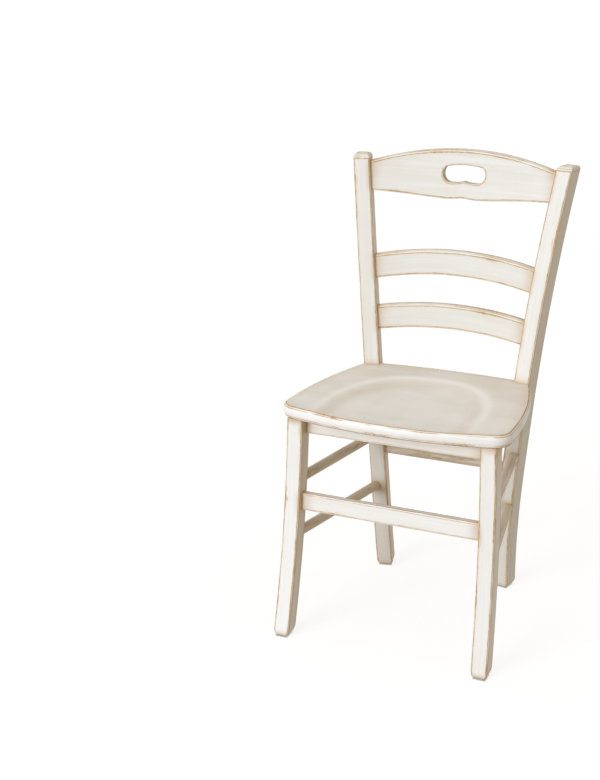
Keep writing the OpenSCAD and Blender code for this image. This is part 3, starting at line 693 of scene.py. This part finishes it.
def crest():
    """The crest rail as one closed grid of loops: hole's edge, front face, outer edge, back
    face, hole's edge and hole's wall."""
    n = 720
    outer = outline_at(n)
    hole = resample(hole_at(np.linspace(0, 2 * math.pi, 1440, endpoint=False)), n)
    # turn the outer loop so that its points face the hole's
    outer_angle = np.unwrap(np.arctan2(outer[:, 1] - HOLE_Z, outer[:, 0] - HOLE_X))
    hole_angle = np.arctan2(hole[:, 1] - HOLE_Z, hole[:, 0] - HOLE_X)[0]
    turns = 2 * math.pi * np.round((outer_angle[0] - hole_angle) / (2 * math.pi))
    outer = np.roll(outer, -np.argmin(np.abs(outer_angle - hole_angle - turns)), 0)
    n_out, n_hole = normals(outer), normals(hole)
    # the outer edge's radius grows from the rail's underside to its top
    up = np.clip(n_out[:, 1] * 1.5, -1, 1) * 0.5 + 0.5
    r_out = SLAT_LOW_R + (SLAT_TOP_R - SLAT_LOW_R) * up
    half_t = RAIL_T / 2
    loops, depth, line, power, dark = [], [], [], [], []

    def add(loop, d, to_line, strength, glaze=0.0):
        loops.append(loop)
        for store, value in ((depth, d), (line, to_line), (power, strength), (dark, glaze)):
            store.append(value * np.ones(n))

    front = []
    for i in range(7):
        t = math.radians(90 * i / 6)
        s = HOLE_EDGE_R * math.pi / 2 * (1 - i / 6)
        front.append((hole + n_hole * (HOLE_EDGE_R * (1 - math.cos(t))),
                      -(half_t - HOLE_EDGE_R) - HOLE_EDGE_R * math.sin(t), OFF + s, 0.75))
    flat_in = hole + n_hole * HOLE_EDGE_R
    flat_out = outer - n_out * r_out[:, None]
    for t in flat_steps(1.0, 46)[1:-1]:
        p = flat_in * (1 - t) + flat_out * t
        gap_out = distance_to(flat_out, p)
        gap_in = distance_to(flat_in, p)
        front.append((p, -half_t, OFF - np.minimum(gap_in, gap_out),
                      np.where(gap_in < gap_out, 0.75, 1.0)))
    for i in range(11):
        t = math.radians(90 * i / 10)
        p = outer - n_out * (r_out * (1 - math.sin(t)))[:, None]
        s = r_out * math.pi / 2 * i / 10
        front.append((p, -(half_t - r_out) - r_out * math.cos(t),
                      OFF + np.minimum(s, r_out * math.pi / 2 - s + 0.4), 1.0))
    for item in front:
        add(*item)
    for k in (-0.75, -0.35, 0.0, 0.35, 0.75):
        add(outer, k * (half_t - r_out), OFF - (1 - abs(k)) * (half_t - r_out), 1.0)
    for p, d, to_line, strength in reversed(front):
        add(p, -d, to_line, strength)
    for d in (4.5, 2.0, -2.0, -4.5):  # the hole's wall, from the back to the front
        add(hole, d, 9.0, 0.3, 1.3)

    loops, depth = np.array(loops), np.array(depth)
    x, z = loops[..., 0], loops[..., 1]
    lean = float(post_lean(crest_mid))
    y = (float(post_y(crest_mid)) + RAIL_BOW * (1 - (x / crest_half) ** 2) + (z - crest_mid) * lean
         + depth - 0.25)
    glaze = np.maximum(joint_glaze(np.clip(crest_half - np.abs(x), 0, None), 26), np.array(dark))
    # the crest rail gets full painted grey shade
    marks = {"line": line, "power": power, "glaze": glaze, "painted_shade": np.ones_like(x),
             "run": np.stack([x, depth, z], -1)}
    make("crest_rail_piece", np.stack([x, y, z], -1), marks, wrap=True, replaces="crest_rail", seed=7)


def distance_to(loop, p):
    """Distance from each point p to the nearest of the loop's points."""
    out = np.empty(len(p))
    for i in range(0, len(p), 120):
        d = p[i:i + 120, None, :] - loop[None, ::2, :]
        out[i:i + 120] = np.sqrt((d ** 2).sum(-1)).min(1)
    return out


crest()

# ---------------------------------------------------------------- front apron and stretcher
APRON_Y, APRON_Z, APRON_END = 9.5, 424.5, 172.0
STRETCHER_HALF_T, STRETCHER_END = 7.5, 176.5
STRETCHER_Y = float(leg_y(STRETCHER_Z)) - LEG_D / 2 + 11 + STRETCHER_HALF_T
# the apron and the stretcher under the seat get some painted warm shade
cross_piece("front_apron", np.linspace(-176, 176, 80), lambda x: (APRON_Y, APRON_Z),
            section(8.5, 15.5, [1.5, 1.5, 2.0, 2.0], n_arc=6, n_a=8, n_b=12),
            0.0, 8, APRON_END, tan=0.32)
cross_piece("front_stretcher", np.linspace(-181, 181, 80), lambda x: (STRETCHER_Y, STRETCHER_Z),
            section(STRETCHER_HALF_T, 17.5, [2.5] * 4, n_arc=7, n_a=8, n_b=14, side_power=0.55),
            0.0, 9, STRETCHER_END, tan=0.12)

# ---------------------------------------------------------------- rungs
for side, tag, seed in ((-1, "left", 10), (1, "right", 12)):
    for z, which, more in ((UPPER_RUNG, "upper", 0), (LOWER_RUNG, "lower", 1)):
        low_z = z - RUNG_DROP
        a = (side * float(leg_x(z)), float(leg_y(z)), z)
        b = (side * float(post_x(low_z)), float(post_y(low_z)), low_z)
        rung(f"{tag}_{which}_rung", a, b, 13, seed + more)
x, y = float(post_x(BACK_RUNG)), float(post_y(BACK_RUNG))
rung("back_rung", (-x, y, BACK_RUNG), (x, y, BACK_RUNG), 11, 14, 17.0)

# ---------------------------------------------------------------- seat
FRONT_R, SIDE_R, REAR_R = 764.0, 895.0, 1200.0
FRONT_CORNER_R, REAR_CORNER_R = 38.0, 16.0
SEAT_W = (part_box("seat")[1][0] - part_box("seat")[0][0]) * 1000
WIDE_Y, BACK_Y = 22.0, LEG_GAP - POST_D / 2 + 27
DISH_Y, DISH_DEPTH = 22.0, 7.0
DISH_A, DISH_B = 0.695 * 223, 0.76 * (BACK_Y - DISH_Y)  # half width, and length to its rear
DISH_OPEN, DISH_FADE = 0.3, 95.0  # share of the depth left at the front edge, length of the change
EDGE_INSET = 6.0  # how far the seat's edge is rounded in
TOP_LINE = 1.9  # how far the top's worn line lies outside the flat's border
POST_SPOT = (160.0, 312.0)  # where a back post meets the seat


def meet(a, ra, b, rb, s):
    """Where circles round a and b cross, on the side of the line from a to b that s says."""
    a, b = np.array(a), np.array(b)
    d = np.linalg.norm(b - a)
    u = (b - a) / d
    k = (ra * ra - rb * rb + d * d) / (2 * d)
    return a + k * u + s * math.sqrt(ra * ra - k * k) * np.array([-u[1], u[0]])


def seat_rim():
    """Points and outward normals of the seat's rim, counter-clockwise from the middle of the
    front."""
    front, side, rear = (0, -SEAT_FRONT + FRONT_R), (SEAT_W / 2 - SIDE_R, WIDE_Y), (0, BACK_Y - REAR_R)
    c1 = meet(front, FRONT_R - FRONT_CORNER_R, side, SIDE_R - FRONT_CORNER_R, 1)
    c2 = meet(rear, REAR_R - REAR_CORNER_R, side, SIDE_R - REAR_CORNER_R, -1)

    def ang(v):
        return math.atan2(v[1], v[0])

    t1, t2 = ang(c1 - front), ang(c1 - np.array(side))
    t3, t4 = ang(c2 - np.array(side)), ang(c2 - np.array(rear))
    arcs = [(front, FRONT_R, -math.pi / 2, t1, 90), (c1, FRONT_CORNER_R, t1, t2, 40),
            (side, SIDE_R, t2, t3, 120), (c2, REAR_CORNER_R, t3, t4, 26),
            (rear, REAR_R, t4, math.pi / 2, 70)]
    pts, nor = [], []
    for c, r, a0, a1, k in arcs:
        for i in range(k):
            a = a0 + (a1 - a0) * i / k
            nor.append((math.cos(a), math.sin(a)))
            pts.append((c[0] + r * math.cos(a), c[1] + r * math.sin(a)))
    pts.append((0, BACK_Y))
    nor.append((0, 1))
    p, q = np.array(pts), np.array(nor)
    mirror = np.array([-1, 1])
    return np.vstack([p, (p[1:-1] * mirror)[::-1]]), np.vstack([q, (q[1:-1] * mirror)[::-1]])


def hollow(x, y):
    """Share of the saddle's depth at a place, and how far out in the hollow that place is."""
    v = np.where(y > DISH_Y, (y - DISH_Y) / DISH_B, 0.45 * (DISH_Y - y) / DISH_B)
    r = ((np.abs(x) / DISH_A) ** 2.4 + v ** 2.4) ** (1 / 2.4)
    t = np.clip((1.02 - r) / 0.34, 0, 1)
    u = np.clip((y + SEAT_FRONT) / DISH_FADE, 0, 1)
    return t * t * (3 - 2 * t) * (DISH_OPEN + (1 - DISH_OPEN) * u * u * (3 - 2 * u)), r


def seat():
    """The seat as rings: the underside from its middle out, the rounded edge, and the top
    from its border in."""
    rim, nor = seat_rim()
    n = len(rim)
    middle = np.array([0, (BACK_Y - SEAT_FRONT) / 2])
    flat = rim - nor * EDGE_INSET
    front = np.clip(-nor[:, 1], 0, 1)
    points = []
    marks = {key: [] for key in ("line", "power", "rub", "tan", "ridge_highlight")}

    def ring(xy, z, line, power, rub=0.0, tan=0.0, ridge_highlight=0.0):
        points.append(np.column_stack([xy, np.ones(n) * z]))
        for key, value in zip(marks, (line, power, rub, tan, ridge_highlight)):
            marks[key].append(value * np.ones(n))

    for s in (0.03, 0.25, 0.5, 0.7, 0.84, 0.92, 0.96, 0.985):
        xy = middle + (flat - middle) * s
        ring(xy, SEAT_LOW, -np.linalg.norm(flat - xy, axis=1), 0.5)

    steps = 26
    profile = []
    for j in range(steps + 1):
        a = math.radians(-90 + 180 * j / steps)
        profile.append((EDGE_INSET * (1 - math.cos(a)), math.sin(a)))
    arc = [0.0]
    for (i0, s0), (i1, s1) in zip(profile, profile[1:]):
        arc.append(arc[-1] + math.hypot(i1 - i0, (s1 - s0) * SEAT_T / 2))
    total = arc[-1]
    # the front roll is rubbed most at two places
    low_rub = 0.8 * np.exp(-(((rim[:, 0] + 10) / 45) ** 2)) * front
    low_rub = np.maximum(low_rub, 0.8 * np.exp(-(((rim[:, 0] - 150) / 45) ** 2)) * front)
    for (inset, height), s in zip(profile, arc):
        xy = rim - nor * inset
        share, _ = hollow(xy[:, 0], xy[:, 1])
        drop = DISH_DEPTH * share * np.clip((height + 0.2) / 1.2, 0, 1) ** 2
        z = SEAT_LOW + SEAT_T / 2 + SEAT_T / 2 * height - drop
        near_low, near_top = s, total - s
        lower = near_low < near_top
        # the lower line lies a little above the underside, the upper one at the top's border
        # painted warm shade, deeper towards the underside of the edge
        ring(xy, z, min(near_low - 3.4, near_top + OFF - TOP_LINE), 1.4 - 0.2 * lower,
             rub=0.12 + (low_rub if lower else 0.1 * front),
             tan=0.04 + 0.12 * np.clip((20 - near_low) / 14, 0, 1))

    for s in (0.995, 0.985, 0.97, 0.95, 0.925, 0.9, 0.875, 0.85, 0.82, 0.79, 0.76, 0.73, 0.7, 0.66,
              0.62, 0.58, 0.54, 0.5, 0.45, 0.4, 0.35, 0.3, 0.25, 0.2, 0.15, 0.1, 0.06, 0.02):
        xy = middle + (flat - middle) * s
        share, r = hollow(xy[:, 0], xy[:, 1])
        d = np.linalg.norm(flat - xy, axis=1)
        # painted warm shade on the hollow's wall inside its ridge, and a painted highlight along the ridge;
        # the top is also darker tan towards the rear, along its border and on the flat outside the hollow
        wall = np.exp(-(((r - 0.84) / 0.11) ** 2)) * 0.75
        rim_tan = 0.25 * np.exp(-((d / 14) ** 2))
        lip_highlight = np.exp(-(((r - 0.985) / 0.042) ** 2)) * np.clip((xy[:, 1] + 40) / 90, 0, 1)
        outside = np.clip((r - 1.0) / 0.1, 0, 1) * np.clip(xy[:, 1] / 250, 0, 1)
        ring(xy, SEAT_TOP - DISH_DEPTH * share, OFF - TOP_LINE - d, 1.4, ridge_highlight=lip_highlight,
             tan=0.1 * np.clip(xy[:, 1] / 150, 0, 1) + 0.46 * wall + rim_tan + 0.24 * outside)

    P = np.array(points)
    # joints with the posts darken the rear corners
    px, py = POST_SPOT
    posts = np.minimum(np.hypot(P[..., 0] - px, P[..., 1] - py), np.hypot(P[..., 0] + px, P[..., 1] - py))
    marks["glaze"] = joint_glaze(np.clip(posts - 14, 0, None), 20)
    marks["run"] = np.stack([P[..., 0] * 1.9, P[..., 1] * 0.1, P[..., 2]], -1)
    make("seat_piece", P, marks, replaces="seat")


seat()

# hidden fixings keep their CAD solids
for node, slot in (("seat_dowels", "bare_beech"), ("seat_screws", "zinc_steel")):
    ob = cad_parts[node]
    ob.data.materials.clear()
    ob.data.materials.append(MATERIALS[slot])

# ---------------------------------------------------------------- floor, light and camera
def floor_material():
    """White to the camera, and a dull warm floor to the light that bounces off it."""
    m = Nodes("pale_floor")
    t = m.t
    path = t.nodes.new("ShaderNodeLightPath")
    seen = m.math("MAXIMUM", path.outputs["Is Camera Ray"], path.outputs["Is Glossy Ray"])
    seen = m.math("MAXIMUM", seen, path.outputs["Is Transmission Ray"])
    m.put(m.bsdf.inputs["Base Color"], m.mix(seen, (0.6, 0.56, 0.5, 1), (0.28, 0.28, 0.28, 1)))
    m.bsdf.inputs["Roughness"].default_value = 0.9
    m.bsdf.inputs["Specular IOR Level"].default_value = 0.1
    m.bsdf.inputs["Emission Color"].default_value = (1, 1, 1, 1)
    m.put(m.bsdf.inputs["Emission Strength"], m.math("MULTIPLY", seen, 0.8))
    return m.mat


FLOOR_HALF = 40.0  # metres
floor_mesh = bpy.data.meshes.new("floor")
corners = [(x * FLOOR_HALF, y * FLOOR_HALF, 0) for x, y in ((-1, -1), (1, -1), (1, 1), (-1, 1))]
floor_mesh.from_pydata(corners, [], [(0, 1, 2, 3)])
floor = bpy.data.objects.new("floor", floor_mesh)
bpy.context.scene.collection.objects.link(floor)
floor_mesh.materials.append(floor_material())

world = bpy.data.worlds.new("studio")
bpy.context.scene.world = world
world.use_nodes = True
t = world.node_tree
for n in list(t.nodes):
    t.nodes.remove(n)
out = t.nodes.new("ShaderNodeOutputWorld")
path = t.nodes.new("ShaderNodeLightPath")
seen = t.nodes.new("ShaderNodeMath")
seen.operation = "MAXIMUM"
seen_or_through = t.nodes.new("ShaderNodeMath")
seen_or_through.operation = "MAXIMUM"
white = t.nodes.new("ShaderNodeBackground")  # what the camera sees
white.inputs[0].default_value = (1, 1, 1, 1)
dim = t.nodes.new("ShaderNodeBackground")  # what lights the chair
dim.inputs[0].default_value = (1.0, 0.91, 0.79, 1)
dim.inputs[1].default_value = 0.46
mix = t.nodes.new("ShaderNodeMixShader")
t.links.new(path.outputs["Is Camera Ray"], seen.inputs[0])
t.links.new(path.outputs["Is Glossy Ray"], seen.inputs[1])
t.links.new(seen.outputs[0], seen_or_through.inputs[0])
t.links.new(path.outputs["Is Transmission Ray"], seen_or_through.inputs[1])
t.links.new(seen_or_through.outputs[0], mix.inputs[0])
t.links.new(dim.outputs[0], mix.inputs[1])
t.links.new(white.outputs[0], mix.inputs[2])
t.links.new(mix.outputs[0], out.inputs[0])


def lamp(name, azimuth, elevation, softness, strength, colour):
    """A far, soft lamp. Azimuth 0 shines from straight in front, positive from the right."""
    data = bpy.data.lights.new(name, "SUN")
    data.angle = math.radians(softness)
    data.energy = strength
    data.color = colour
    ob = bpy.data.objects.new(name, data)
    bpy.context.scene.collection.objects.link(ob)
    a, e = math.radians(azimuth), math.radians(elevation)
    back = Vector((math.sin(a) * math.cos(e), -math.cos(a) * math.cos(e), math.sin(e)))
    ob.rotation_mode = "QUATERNION"
    ob.rotation_quaternion = (-back).to_track_quat("-Z", "Y")


lamp("key", -22, 16, 34, 2.29, (0.79, 0.86, 1.0))
lamp("top", 10, 72, 80, 0.5, (1.0, 0.97, 0.93))

cam_data = bpy.data.cameras.new("camera")
cam = bpy.data.objects.new("camera", cam_data)
bpy.context.scene.collection.objects.link(cam)
cam_data.sensor_fit = "AUTO"
cam_data.sensor_width = 36
cam_data.lens = 61.673
CAMERA_AT = (0.7929, -2.3396, 1.2699)
CAMERA_TURN, CAMERA_DOWN, CAMERA_ROLL = 24.2465, 18.0589, 0.0419  # degrees
cam.matrix_world = (Matrix.Translation(CAMERA_AT)
                    @ Matrix.Rotation(math.radians(CAMERA_TURN), 4, "Z")
                    @ Matrix.Rotation(math.radians(90 - CAMERA_DOWN), 4, "X")
                    @ Matrix.Rotation(math.radians(CAMERA_ROLL), 4, "Z"))
bpy.context.scene.camera = cam
bpy.context.scene.view_settings.view_transform = "Standard"
